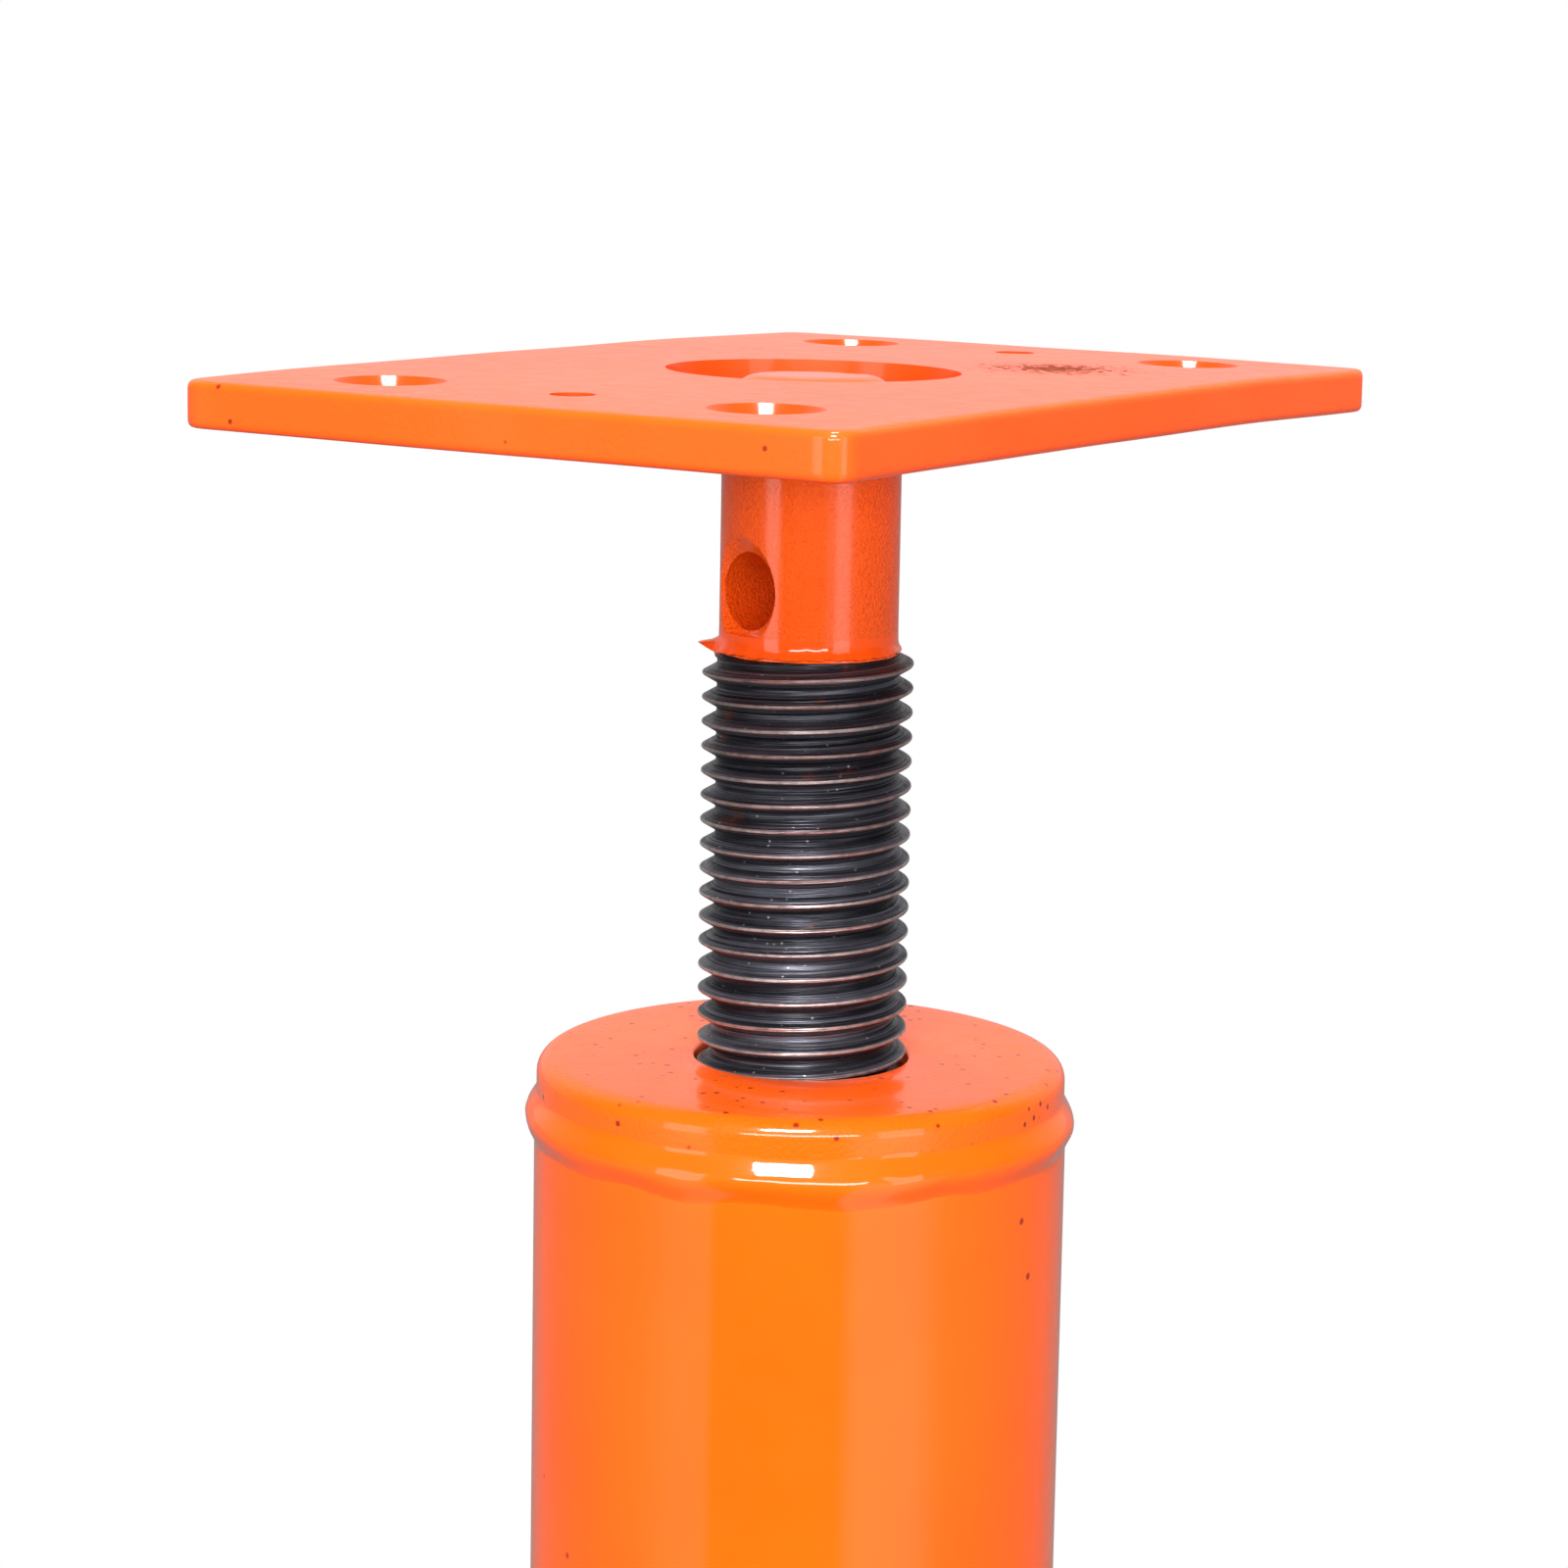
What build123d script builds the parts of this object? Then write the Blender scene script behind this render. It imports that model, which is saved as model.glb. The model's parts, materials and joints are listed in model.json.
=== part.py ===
from build123d import *
from math import cos, pi, radians, sin, sqrt, tan
import os

# Screw jack stand: a square base, a welded post, a fixed nut under its cap, and a jack screw that
# carries a swivelling load plate. Millimetres. The origin is the centre of the base's underside, +Z
# is up, and the load plate's short side runs along X.

# ---- driving dimensions ----

# base and post
base_side = 200.0
base_thickness = 8.0
base_corner_radius = 12.0
base_hole_spacing = 160.0
base_hole_radius = 6.5
base_edge_radius = 1.0
tube_radius = 38.1
tube_wall = 4.0
tube_length = 232.0
cap_radius = 37.8
cap_thickness = 8.0
cap_edge_radius = 1.8
cap_hole_radius = 15.3

# gussets between the post and the base
gusset_thickness = 6.0
gusset_reach = 52.0
gusset_height = 80.0
gusset_nose = 10.0
gusset_snipe = 11.0
gusset_clearance = 1.0
gusset_directions = {"front": 270, "right": 0, "back": 90, "left": 180}

# weld beads
fillet_leg = 4.0
base_fillet_leg = 7.0
bead_height = 8.0
bead_top_drop = 4.5
bead_proud = 1.1
nut_weld_slope = 44.0

# M30 x 3.5 thread: the screw carries it as one ring groove for each pitch, the nut as a plain bore
pitch = 3.5
crest_radius = 14.95
root_radius = 12.85
crest_width = pitch / 8
flank_angle = 30.0
nut_clearance = 0.35

# jack screw
exposed_thread = 58.25
lift_up = 75.0
neck_radius = 12.65
neck_length = 33.15
thread_lead_in = 1.4
tail_radius = 12.0
tail_length = 13.0
tail_chamfer = 1.0
spigot_radius = 10.0
head_radius = 12.0
head_top_radius = 7.1
head_lip = 0.4
head_drop = 0.45
head_height = 2.7
head_crown = 0.33

# tommy bar hole across the neck, its direction measured from -Y towards +X
bar_hole_radius = 5.5
bar_hole_drop = 30.3
bar_hole_direction = -18.0
bar_countersink_radius = 7.85
bar_countersink_depth = 1.8

# load plate
plate_short = 102.0
plate_long = 151.0
plate_thickness = 6.35
plate_corner_radius = 4.5
plate_edge_radius = 1.2
corner_hole_x = 29.2
corner_hole_y = 58.2
corner_hole_radius = 4.25
countersink_radius = 7.5
nail_hole_radius = 3.0
dish_radius = 20.75
dish_floor_radius = 20.2
dish_depth = 4.2
pivot_hole_radius = 10.3
pivot_play = 0.05

# retaining washer in the dish
washer_radius = 13.5
washer_thickness = 0.95

# nut under the cap
nut_across_flats = 46.0
nut_height = 24.0
nut_corner_chamfer = 1.6
nut_mouth_chamfer = 1.2

# stop collar and its spring pin on the screw's tail
collar_radius = 19.0
collar_height = 12.0
collar_bore_radius = 12.1
collar_edge = 1.0
stop_gap = 0.5
pin_radius = 2.45
pin_hole_radius = 2.5
pin_wall = 0.9
pin_slot = 1.2
pin_length = 36.0

# ---- derived heights ----

tube_top = base_thickness + tube_length
cap_top = tube_top + cap_thickness
thread_top = cap_top + exposed_thread
plate_bottom = thread_top + neck_length
plate_top = plate_bottom + plate_thickness
nut_bottom = tube_top - nut_height
thread_bottom = nut_bottom - lift_up - stop_gap
thread_length = thread_top - thread_bottom
tail_bottom = thread_bottom - tail_length
neck_top = plate_bottom - pivot_play
dish_floor = plate_top - dish_depth
washer_bottom = dish_floor + pivot_play
head_bottom = plate_top - head_drop - head_height
bar_hole_height = plate_top - bar_hole_drop

os.makedirs("parts", exist_ok=True)


# ---- helpers ----

def save(piece, name):
    """Label a finished piece and write its STEP file."""
    piece.label = name
    export_step(piece, f"parts/{name}.step")


def polar(radius, degrees):
    """A point in the XY plane from its radius and direction."""
    return (radius * cos(radians(degrees)), radius * sin(radians(degrees)))


def thread_outline():
    """The screw's ring grooves as (radius, height) points, from the lowest crest to the highest."""
    half_crest = crest_width / 2
    half_tooth = half_crest + (crest_radius - root_radius) * tan(radians(flank_angle))
    points = []
    for turn in range(int(thread_length / pitch)):
        middle = thread_bottom + (turn + 0.5) * pitch
        points += [
            (root_radius, middle - half_tooth),
            (crest_radius, middle - half_crest),
            (crest_radius, middle + half_crest),
            (root_radius, middle + half_tooth),
        ]
    return points


def turned(*outline):
    """A solid turned about the Z axis from an outline of (radius, height) points."""
    with BuildPart() as blank:
        with BuildSketch(Plane.XZ):
            with BuildLine():
                Polyline(*outline, close=True)
            make_face()
        revolve(axis=Axis.Z)
    return blank.part


def standing_plane(degrees):
    """A vertical plane through the Z axis whose x runs outwards in this direction and y runs up."""
    outward = Vector(*polar(1, degrees), 0)
    return Plane(origin=(0, 0, 0), x_dir=outward, z_dir=outward.cross(Vector(0, 0, 1)))


# ---- base, post and cap ----

with BuildPart() as base_plate:
    with BuildSketch():
        RectangleRounded(base_side, base_side, base_corner_radius)
        with GridLocations(base_hole_spacing, base_hole_spacing, 2, 2):
            Circle(base_hole_radius, mode=Mode.SUBTRACT)
    extrude(amount=base_thickness)
    fillet(base_plate.faces().sort_by(Axis.Z)[-1].outer_wire().edges(), radius=base_edge_radius)
save(base_plate.part, "base_plate")

with BuildPart() as post_tube:
    with BuildSketch(Plane.XY.offset(base_thickness)):
        Circle(tube_radius)
        Circle(tube_radius - tube_wall, mode=Mode.SUBTRACT)
    extrude(amount=tube_length)
save(post_tube.part, "post_tube")

with BuildPart() as tube_cap:
    with BuildSketch(Plane.XY.offset(tube_top)):
        Circle(cap_radius)
        Circle(cap_hole_radius, mode=Mode.SUBTRACT)
    extrude(amount=cap_thickness)
    fillet(tube_cap.faces().sort_by(Axis.Z)[-1].outer_wire().edges(), radius=cap_edge_radius)
save(tube_cap.part, "tube_cap")

with BuildPart() as cap_weld:
    with BuildSketch(Plane.XZ):
        bead_top = cap_top - bead_top_drop
        bead_bottom = bead_top - bead_height
        with BuildLine():
            Polyline(
                (tube_radius, bead_bottom),
                (tube_radius, tube_top),
                (cap_radius, tube_top),
                (cap_radius, bead_top),
            )
            ThreePointArc(
                (cap_radius, bead_top),
                (tube_radius + bead_proud, (bead_top + bead_bottom) / 2),
                (tube_radius, bead_bottom),
            )
        make_face()
    revolve(axis=Axis.Z)
save(cap_weld.part, "cap_weld")

with BuildPart() as base_weld:
    add(turned(
        (tube_radius, base_thickness),
        (tube_radius + base_fillet_leg, base_thickness),
        (tube_radius, base_thickness + base_fillet_leg),
    ))
save(base_weld.part, "base_weld")

# ---- gussets and their fillet welds ----

gusset_foot = tube_radius + gusset_reach
gusset_peak = base_thickness + gusset_height
gusset_seat = tube_radius - tube_wall / 2
bead_from = gusset_snipe + gusset_clearance
bead_inner = gusset_thickness / 2
bead_outer = bead_inner + fillet_leg
bead_touch = sqrt(tube_radius ** 2 - bead_outer ** 2)

for side, direction in gusset_directions.items():
    upright = standing_plane(direction)
    with BuildPart() as gusset:
        with BuildSketch(upright):
            with BuildLine():
                Polyline(
                    (gusset_seat, base_thickness + gusset_snipe),
                    (tube_radius + gusset_snipe, base_thickness),
                    (gusset_foot, base_thickness),
                    (gusset_foot, base_thickness + gusset_nose),
                    (tube_radius + gusset_nose, gusset_peak),
                    (gusset_seat, gusset_peak),
                    close=True,
                )
            make_face()
        extrude(amount=gusset_thickness / 2, both=True)
        with BuildSketch():
            Circle(tube_radius)
        extrude(amount=tube_top, mode=Mode.SUBTRACT)
    save(gusset.part, f"gusset_{side}")

    with BuildPart() as gusset_weld:
        across = Plane(origin=(0, 0, 0), x_dir=-upright.z_dir, z_dir=upright.x_dir)
        with BuildSketch(across.offset(tube_radius + bead_from)):
            with BuildLine():
                Polyline(
                    (bead_inner, base_thickness),
                    (bead_outer, base_thickness),
                    (bead_inner, base_thickness + fillet_leg),
                    close=True,
                )
            make_face()
            mirror(about=Plane.YZ)
        extrude(amount=gusset_reach - bead_from - gusset_clearance)
        with BuildSketch(Plane(origin=(0, 0, base_thickness + bead_from), x_dir=upright.x_dir)):
            with BuildLine():
                Polyline(
                    (gusset_seat, bead_inner),
                    (tube_radius + fillet_leg, bead_inner),
                    (bead_touch, bead_outer),
                    (gusset_seat, bead_outer),
                    close=True,
                )
            make_face()
            mirror(about=Plane.XZ)
        extrude(amount=gusset_height - bead_from - gusset_clearance)
        with BuildSketch():
            Circle(tube_radius)
        extrude(amount=tube_top, mode=Mode.SUBTRACT)
    save(gusset_weld.part, f"gusset_weld_{side}")

# ---- nut welded under the cap ----

nut_corner = nut_across_flats / 2 / cos(pi / 6)
nut_bore_radius = crest_radius + nut_clearance
nut_mouth_radius = nut_bore_radius + nut_mouth_chamfer
nut_envelope = turned(
    (nut_mouth_radius, nut_bottom),
    (nut_corner - nut_corner_chamfer, nut_bottom),
    (nut_corner, nut_bottom + nut_corner_chamfer * tan(radians(30))),
    (nut_corner, tube_top),
    (nut_bore_radius, tube_top),
    (nut_bore_radius, nut_bottom + nut_mouth_chamfer),
)

with BuildPart() as lift_nut:
    with BuildSketch(Plane.XY.offset(nut_bottom)):
        RegularPolygon(nut_across_flats / 2, 6, major_radius=False)
    extrude(amount=nut_height)
    add(nut_envelope, mode=Mode.INTERSECT)
save(lift_nut.part, "lift_nut")

with BuildPart() as nut_weld:
    with BuildSketch(Plane.XY.offset(tube_top)):
        RegularPolygon(nut_across_flats / 2 + fillet_leg, 6, major_radius=False)
    extrude(amount=-fillet_leg, taper=nut_weld_slope)
    with BuildSketch(Plane.XY.offset(nut_bottom)):
        RegularPolygon(nut_across_flats / 2, 6, major_radius=False)
    extrude(amount=nut_height, mode=Mode.SUBTRACT)
save(nut_weld.part, "nut_weld")

# ---- jack screw ----

thread_envelope = turned(
    (0, thread_bottom),
    (tail_radius, thread_bottom),
    (crest_radius, thread_bottom + thread_lead_in),
    (crest_radius, thread_top - thread_lead_in),
    (neck_radius, thread_top),
    (0, thread_top),
)
bar_axis = Vector(sin(radians(bar_hole_direction)), -cos(radians(bar_hole_direction)), 0)

with BuildPart() as jack_screw:
    add(turned(
        (0, thread_bottom),
        (root_radius, thread_bottom),
        *thread_outline(),
        (root_radius, thread_top),
        (0, thread_top),
    ))
    add(thread_envelope, mode=Mode.INTERSECT)
    with BuildSketch(Plane.XY.offset(thread_top)):
        Circle(neck_radius)
    extrude(amount=neck_top - thread_top)
    with BuildSketch(Plane.XY.offset(neck_top)):
        Circle(spigot_radius)
    extrude(amount=head_bottom - neck_top)
    with BuildSketch(Plane.XZ):
        head_top = head_bottom + head_height
        head_shoulder = head_bottom + head_lip
        with BuildLine():
            Polyline(
                (head_top_radius, head_top),
                (0, head_top),
                (0, head_bottom),
                (head_radius, head_bottom),
                (head_radius, head_shoulder),
            )
            ThreePointArc(
                (head_radius, head_shoulder),
                ((head_radius + head_top_radius) / 2, (head_shoulder + head_top) / 2 + head_crown),
                (head_top_radius, head_top),
            )
        make_face()
    revolve(axis=Axis.Z)
    with BuildSketch(Plane.XY.offset(thread_bottom)):
        Circle(tail_radius)
    extrude(amount=-tail_length)
    chamfer(jack_screw.faces().sort_by(Axis.Z)[0].edges(), length=tail_chamfer)
    with BuildSketch(Plane(origin=(0, 0, bar_hole_height), z_dir=bar_axis)):
        Circle(bar_hole_radius)
    extrude(amount=crest_radius, both=True, mode=Mode.SUBTRACT)
    for end in (bar_axis, -bar_axis):
        mouth = Plane(origin=Vector(0, 0, bar_hole_height) + end * neck_radius, z_dir=end)
        with Locations(mouth.offset(-bar_countersink_depth)):
            Cone(bar_hole_radius, bar_countersink_radius, bar_countersink_depth,
                 align=(Align.CENTER, Align.CENTER, Align.MIN), mode=Mode.SUBTRACT)
    with BuildSketch(Plane.YZ):
        with Locations((0, thread_bottom - collar_height / 2)):
            Circle(pin_hole_radius)
    extrude(amount=crest_radius, both=True, mode=Mode.SUBTRACT)
save(jack_screw.part, "jack_screw")

# ---- stop collar and spring pin ----

with BuildPart() as stop_collar:
    with BuildSketch(Plane.XY.offset(thread_bottom)):
        Circle(collar_radius)
        Circle(collar_bore_radius, mode=Mode.SUBTRACT)
    extrude(amount=-collar_height)
    rings = stop_collar.edges().filter_by(GeomType.CIRCLE)
    chamfer(rings.group_by(SortBy.RADIUS)[-1], length=collar_edge)
    with BuildSketch(Plane.YZ):
        with Locations((0, thread_bottom - collar_height / 2)):
            Circle(pin_hole_radius)
    extrude(amount=2 * collar_radius, both=True, mode=Mode.SUBTRACT)
save(stop_collar.part, "stop_collar")

with BuildPart() as stop_pin:
    with BuildSketch(Plane.YZ):
        with Locations((0, thread_bottom - collar_height / 2)):
            Circle(pin_radius)
            Circle(pin_radius - pin_wall, mode=Mode.SUBTRACT)
        with Locations((0, thread_bottom - collar_height / 2 + pin_radius)):
            Rectangle(pin_slot, 2 * pin_radius - pin_wall, mode=Mode.SUBTRACT)
    extrude(amount=pin_length / 2, both=True)
save(stop_pin.part, "stop_pin")

# ---- load plate and retaining washer ----

with BuildPart() as load_plate:
    with BuildSketch(Plane.XY.offset(plate_bottom)):
        RectangleRounded(plate_short, plate_long, plate_corner_radius)
    extrude(amount=plate_thickness)
    rims = load_plate.faces().filter_by(Axis.Z)
    fillet(rims.edges(), radius=plate_edge_radius)
    add(turned(
        (0, plate_top),
        (dish_radius, plate_top),
        (dish_floor_radius, dish_floor),
        (pivot_hole_radius, dish_floor),
        (pivot_hole_radius, plate_bottom),
        (0, plate_bottom),
    ), mode=Mode.SUBTRACT)
    with Locations(Plane.XY.offset(plate_top)):
        with GridLocations(2 * corner_hole_x, 2 * corner_hole_y, 2, 2):
            CounterSinkHole(corner_hole_radius, countersink_radius, counter_sink_angle=90)
        with GridLocations(0, 2 * corner_hole_y, 1, 2):
            Hole(nail_hole_radius)
save(load_plate.part, "load_plate")

with BuildPart() as retaining_washer:
    with BuildSketch(Plane.XY.offset(washer_bottom)):
        Circle(washer_radius)
        Circle(pivot_hole_radius, mode=Mode.SUBTRACT)
    extrude(amount=washer_thickness)
save(retaining_washer.part, "retaining_washer")

# ---- what turns into what ----

print(f"plate top {plate_top:.2f}, cap top {cap_top:.2f}, thread {thread_length / pitch:.1f} turns long")
print(f"screw tail {tail_bottom:.2f} above the ground at rest, bar hole at {bar_hole_height:.2f}")
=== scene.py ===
"""Dresses a screw jack stand: modelled paint, thread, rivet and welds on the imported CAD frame."""

import json
import logging
import math
from dataclasses import dataclass
from enum import Enum

import bpy
from mathutils import Matrix, Vector, noise


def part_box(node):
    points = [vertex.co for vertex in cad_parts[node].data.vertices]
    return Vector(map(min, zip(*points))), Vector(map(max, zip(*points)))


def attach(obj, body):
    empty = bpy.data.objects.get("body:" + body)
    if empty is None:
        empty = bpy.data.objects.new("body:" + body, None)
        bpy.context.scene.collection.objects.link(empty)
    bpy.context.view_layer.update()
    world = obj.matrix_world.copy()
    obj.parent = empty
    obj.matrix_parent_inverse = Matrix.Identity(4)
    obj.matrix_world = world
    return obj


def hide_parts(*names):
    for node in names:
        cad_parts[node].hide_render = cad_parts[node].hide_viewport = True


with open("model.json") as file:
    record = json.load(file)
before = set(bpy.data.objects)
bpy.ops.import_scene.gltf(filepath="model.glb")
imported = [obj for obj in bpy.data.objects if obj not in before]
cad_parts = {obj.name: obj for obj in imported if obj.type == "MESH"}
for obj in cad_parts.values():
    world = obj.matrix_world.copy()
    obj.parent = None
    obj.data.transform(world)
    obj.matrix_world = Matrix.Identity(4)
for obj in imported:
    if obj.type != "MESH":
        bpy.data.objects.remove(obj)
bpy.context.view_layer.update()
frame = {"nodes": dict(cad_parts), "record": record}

logging.basicConfig(level=logging.INFO, format="%(message)s")
log = logging.getLogger("jack_stand")

MM = 0.001
FULL_TURN = 2 * math.pi
WELD_GAP = 1e-6


class Slot(Enum):
    """The record's material slots."""

    ORANGE = "orange_paint"
    BLACK = "black_thread"
    BARE = "bare_steel"


class Body(Enum):
    """The bodies that the pieces ride on."""

    POST = "post"
    SCREW = "screw"
    PLATE = "plate"
    CARRIER = "carrier"


# ---------------------------------------------------------------------------------------------
# Workshop: small steps of modelling that every sub-assembly uses
# ---------------------------------------------------------------------------------------------


def pick(*pieces: bpy.types.Object) -> None:
    """Select these pieces alone and make the first one active."""
    bpy.ops.object.select_all(action="DESELECT")
    for piece in pieces:
        piece.select_set(True)
    bpy.context.view_layer.objects.active = pieces[0]


def open_edit(piece: bpy.types.Object, everything: bool = True) -> None:
    """Enter edit mode on a piece with all of it selected, or only what was marked beforehand."""
    pick(piece)
    bpy.ops.object.mode_set(mode="EDIT")
    if everything:
        bpy.ops.mesh.select_all(action="SELECT")


def close_edit() -> None:
    """Go back to object mode."""
    bpy.ops.object.mode_set(mode="OBJECT")


def apply_all(piece: bpy.types.Object) -> None:
    """Apply every modifier of a piece in order."""
    pick(piece)
    for modifier in list(piece.modifiers):
        bpy.ops.object.modifier_apply(modifier=modifier.name)


def seal(piece: bpy.types.Object) -> None:
    """Merge doubled points and turn all faces outwards."""
    open_edit(piece)
    bpy.ops.mesh.remove_doubles(threshold=WELD_GAP)
    bpy.ops.mesh.normals_make_consistent(inside=False)
    close_edit()


def smooth(piece: bpy.types.Object, degrees: float = 30.0) -> None:
    """Shade a piece smooth except across edges sharper than this."""
    pick(piece)
    bpy.ops.object.shade_smooth_by_angle(angle=math.radians(degrees))


def settle(piece: bpy.types.Object) -> None:
    """Move a piece's place and turn into its mesh, so that its object sits at the origin."""
    pick(piece)
    bpy.ops.object.transform_apply(location=True, rotation=True, scale=True)


def arc(centre: tuple[float, float], radius: float, start: float, end: float, steps: int) -> list[tuple[float, float]]:
    """Points along an arc of an outline.

    Args:
        centre: the arc's centre as (radius, height) in millimetres.
        radius: the arc's own radius in millimetres.
        start: first direction in degrees, from outwards towards up.
        end: last direction in degrees.
        steps: how many stretches the arc has.

    Returns:
        The (radius, height) points, both ends included.
    """
    turns = [math.radians(start + (end - start) * i / steps) for i in range(steps + 1)]
    return [(centre[0] + radius * math.cos(t), centre[1] + radius * math.sin(t)) for t in turns]


def draw_outline(name: str, outline: list[tuple[float, float]]) -> bpy.types.Object:
    """Draw a chain of edges in the XZ plane, point after point.

    Args:
        name: the new piece's name.
        outline: (radius, height) points in millimetres.

    Returns:
        The new piece, still a wire.
    """
    bpy.ops.object.select_all(action="DESELECT")
    bpy.ops.mesh.primitive_plane_add(size=MM)
    piece = bpy.context.object
    piece.name = name
    open_edit(piece)
    bpy.ops.mesh.merge(type="CENTER")
    points = [Vector((r * MM, 0, z * MM)) for r, z in outline]
    bpy.ops.transform.translate(value=points[0])
    for here, there in zip(points, points[1:]):
        bpy.ops.mesh.extrude_region_move(TRANSFORM_OT_translate={"value": there - here})
    close_edit()
    return piece


def lathe(name: str, outline: list[tuple[float, float]], steps: int = 128) -> bpy.types.Object:
    """Turn an outline about the Z axis.

    Args:
        name: the new piece's name.
        outline: (radius, height) points in millimetres. It starts and ends on the axis, or closes on itself.
        steps: how many stretches the full turn has.

    Returns:
        The closed piece, with smooth shading.
    """
    piece = draw_outline(name, outline)
    open_edit(piece)
    bpy.ops.mesh.remove_doubles(threshold=WELD_GAP)
    bpy.ops.mesh.select_all(action="SELECT")
    bpy.ops.mesh.spin(steps=steps, angle=FULL_TURN, center=(0, 0, 0), axis=(0, 0, 1))
    close_edit()
    seal(piece)
    smooth(piece)
    return piece


def cut_away(piece: bpy.types.Object, *cutters: bpy.types.Object) -> None:
    """Cut the cutters' shapes out of a piece and throw the cutters away."""
    for cutter in cutters:
        cut = piece.modifiers.new("cut", "BOOLEAN")
        cut.operation = "DIFFERENCE"
        cut.solver = "EXACT"
        cut.object = cutter
        apply_all(piece)
        bpy.data.objects.remove(cutter)


def bisect_across(piece: bpy.types.Object, normal: tuple[float, float, float], places: list[float]) -> None:
    """Score cut lines right across a piece, so that it can bend there."""
    open_edit(piece)
    for place in places:
        bpy.ops.mesh.select_all(action="SELECT")
        bpy.ops.mesh.bisect(plane_co=Vector(normal) * place, plane_no=normal)
    close_edit()


def round_edges(piece: bpy.types.Object, width: float, steps: int, sharper_than: float, near) -> None:
    """Bevel the sharp edges that lie where `near` says.

    Args:
        piece: the piece to soften.
        width: the bevel's width in millimetres.
        steps: its segments.
        sharper_than: only edges whose faces turn by more than this many degrees.
        near: a function of a point in millimetres that says whether an edge's middle counts.
    """
    mesh = piece.data
    turn = math.radians(sharper_than)
    faces_of: dict[tuple[int, int], list[Vector]] = {}
    for face in mesh.polygons:
        for key in face.edge_keys:
            faces_of.setdefault(key, []).append(face.normal.copy())
    for part in (mesh.vertices, mesh.edges, mesh.polygons):
        for item in part:
            item.select = False
    for edge in mesh.edges:
        normals = faces_of.get(tuple(sorted(edge.vertices)), [])
        middle = (mesh.vertices[edge.vertices[0]].co + mesh.vertices[edge.vertices[1]].co) / 2 / MM
        if len(normals) == 2 and normals[0].angle(normals[1], 0.0) > turn and near(middle):
            edge.select = True
    pick(piece)
    bpy.context.tool_settings.mesh_select_mode = (False, True, False)
    bpy.ops.object.mode_set(mode="EDIT")
    bpy.ops.mesh.bevel(offset=width * MM, segments=steps, profile=0.6, clamp_overlap=True)
    bpy.context.tool_settings.mesh_select_mode = (True, False, False)
    close_edit()


def wobble(direction: float, seed: float, lumps: float) -> float:
    """An uneven wave round a full turn, from about -1 to 1.

    Args:
        direction: direction in radians.
        seed: picks the wave.
        lumps: how busy it is.

    Returns:
        The wave's height at that direction.
    """
    return noise.noise(Vector((math.cos(direction) * lumps, math.sin(direction) * lumps, seed)))


def bring_in(piece: bpy.types.Object, body: Body, slot: Slot, *nodes: str) -> None:
    """Hand a finished piece to the frame.

    Args:
        piece: the finished piece.
        body: the body it rides on.
        slot: the record's slot that its finish belongs to; not used.
        nodes: the CAD nodes that it stands for.
    """
    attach(piece, body.value)
    if nodes:
        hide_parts(*nodes)
    log.info("%s: %d faces, rides on %s", piece.name, len(piece.data.polygons), body.value)


# ---------------------------------------------------------------------------------------------
# Finishes
# ---------------------------------------------------------------------------------------------


class Sheet:
    """A material or group under construction: adds nodes and joins them."""

    def __init__(self, tree: bpy.types.NodeTree) -> None:
        """Work on this node tree."""
        self.tree = tree

    def add(self, kind: str, **settings: object) -> bpy.types.Node:
        """Add a node of this kind and set its properties."""
        node = self.tree.nodes.new(kind)
        for name, value in settings.items():
            setattr(node, name, value)
        return node

    def join(self, source: bpy.types.NodeSocket, target: bpy.types.NodeSocket) -> None:
        """Link two sockets."""
        self.tree.links.new(source, target)

    def feed(self, target: bpy.types.NodeSocket, value: object) -> None:
        """Link a socket into the target, or set it to a constant."""
        if isinstance(value, bpy.types.NodeSocket):
            self.join(value, target)
        else:
            target.default_value = value

    def sum(self, operation: str, first: object, second: object = 0.0, clamp: bool = False) -> bpy.types.NodeSocket:
        """One step of arithmetic on sockets or numbers."""
        node = self.add("ShaderNodeMath", operation=operation, use_clamp=clamp)
        self.feed(node.inputs[0], first)
        self.feed(node.inputs[1], second)
        return node.outputs[0]

    def grain(self, place: bpy.types.NodeSocket, scale: object, detail: float = 2.0, rough: float = 0.5) -> bpy.types.NodeSocket:
        """A noise value at this scale, per metre."""
        node = self.add("ShaderNodeTexNoise")
        self.feed(node.inputs["Vector"], place)
        self.feed(node.inputs["Scale"], scale)
        node.inputs["Detail"].default_value = detail
        node.inputs["Roughness"].default_value = rough
        return node.outputs["Fac"]

    def window(self, value: object, low: float, high: float, start: float = 0.0, end: float = 1.0) -> bpy.types.NodeSocket:
        """Spread the stretch from low to high over start to end, smoothly, and hold outside it."""
        node = self.add("ShaderNodeMapRange", interpolation_type="SMOOTHSTEP")
        for socket, number in zip(node.inputs[:5], (value, low, high, start, end)):
            self.feed(socket, number)
        return node.outputs["Result"]

    def blend(self, amount: object, first: object, second: object) -> bpy.types.NodeSocket:
        """Mix two colours by an amount from 0 to 1."""
        node = self.add("ShaderNodeMix", data_type="RGBA")
        self.feed(node.inputs[0], amount)
        self.feed(node.inputs[6], first)
        self.feed(node.inputs[7], second)
        return node.outputs[2]

    def bump(self, height: bpy.types.NodeSocket, depth: float, under: bpy.types.NodeSocket | None = None) -> bpy.types.NodeSocket:
        """A bumped normal of this depth in metres."""
        node = self.add("ShaderNodeBump")
        node.inputs["Strength"].default_value = 1.0
        node.inputs["Distance"].default_value = depth
        self.join(height, node.inputs["Height"])
        if under is not None:
            self.join(under, node.inputs["Normal"])
        return node.outputs["Normal"]


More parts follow.
